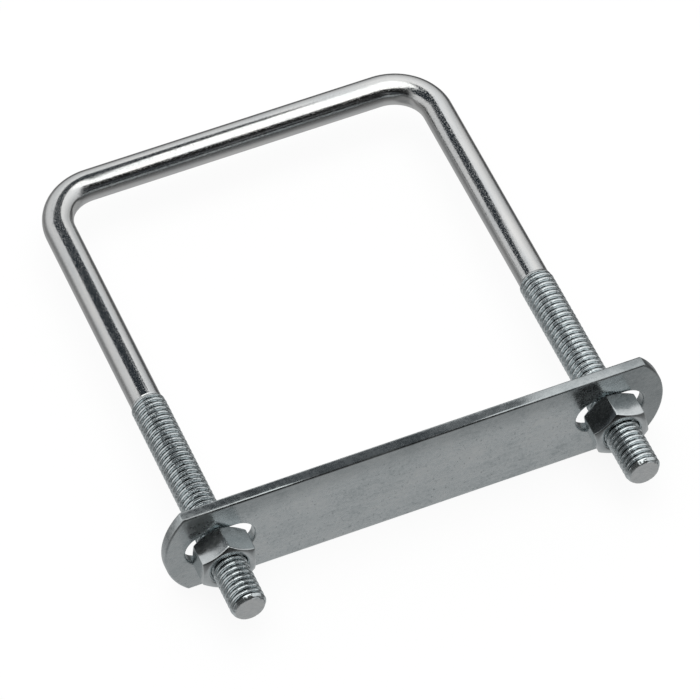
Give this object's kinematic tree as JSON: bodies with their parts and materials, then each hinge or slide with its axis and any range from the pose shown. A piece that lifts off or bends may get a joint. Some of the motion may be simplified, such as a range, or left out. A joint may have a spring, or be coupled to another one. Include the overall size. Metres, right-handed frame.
{
  "type": "square u-bolt",
  "caption": "Square U-bolt: a round rod bent into a rectangular U with threaded legs, a flat slotted clamp plate across the legs and hex nuts that hold it.",
  "frame": {"origin": "midway between the leg axes, on the plate's clamping face (the face that looks at the bow)", "axes": "+X along the plate from the left leg to the right leg, +Y along the legs from the plate to the bow, +Z square to the plane of the U"},
  "size_m": [0.1382, 0.1517, 0.0286],
  "materials": {
    "zinc_rod": "bright zinc plate on drawn steel rod, mirror-like on the plain rod, satin on the threads",
    "zinc_plate": "bright zinc plate on stamped flat steel bar, satin grey with faint mottling",
    "zinc_nut": "bright zinc plate on a cold-formed steel nut, semi-gloss"
  },
  "bodies": {
    "bolt": {"u_bolt": "zinc_rod"},
    "plate": {"clamp_plate": "zinc_plate"},
    "left_nut": {"nut_left": "zinc_nut"},
    "right_nut": {"nut_right": "zinc_nut"}
  },
  "joints": [
    {"name": "plate_travel", "type": "slide", "parent": "bolt", "child": "plate", "axis": [0, 1, 0], "range_m": [-0.0135, 0.0461]},
    {"name": "left_nut_turn", "type": "hinge", "parent": "plate", "child": "left_nut", "pos_m": [-0.05425, -0.00745, 0], "axis": [0, 1, 0], "range_deg": [-3062, 10455]},
    {"name": "right_nut_turn", "type": "hinge", "parent": "plate", "child": "right_nut", "pos_m": [0.05425, -0.00745, 0], "axis": [0, 1, 0], "range_deg": [-3062, 10455]}
  ],
  "couplings": [
    {"joint": "left_nut_turn", "follows": "plate_travel", "rad_per_m": 3957.9},
    {"joint": "right_nut_turn", "follows": "plate_travel", "rad_per_m": 3957.9}
  ]
}
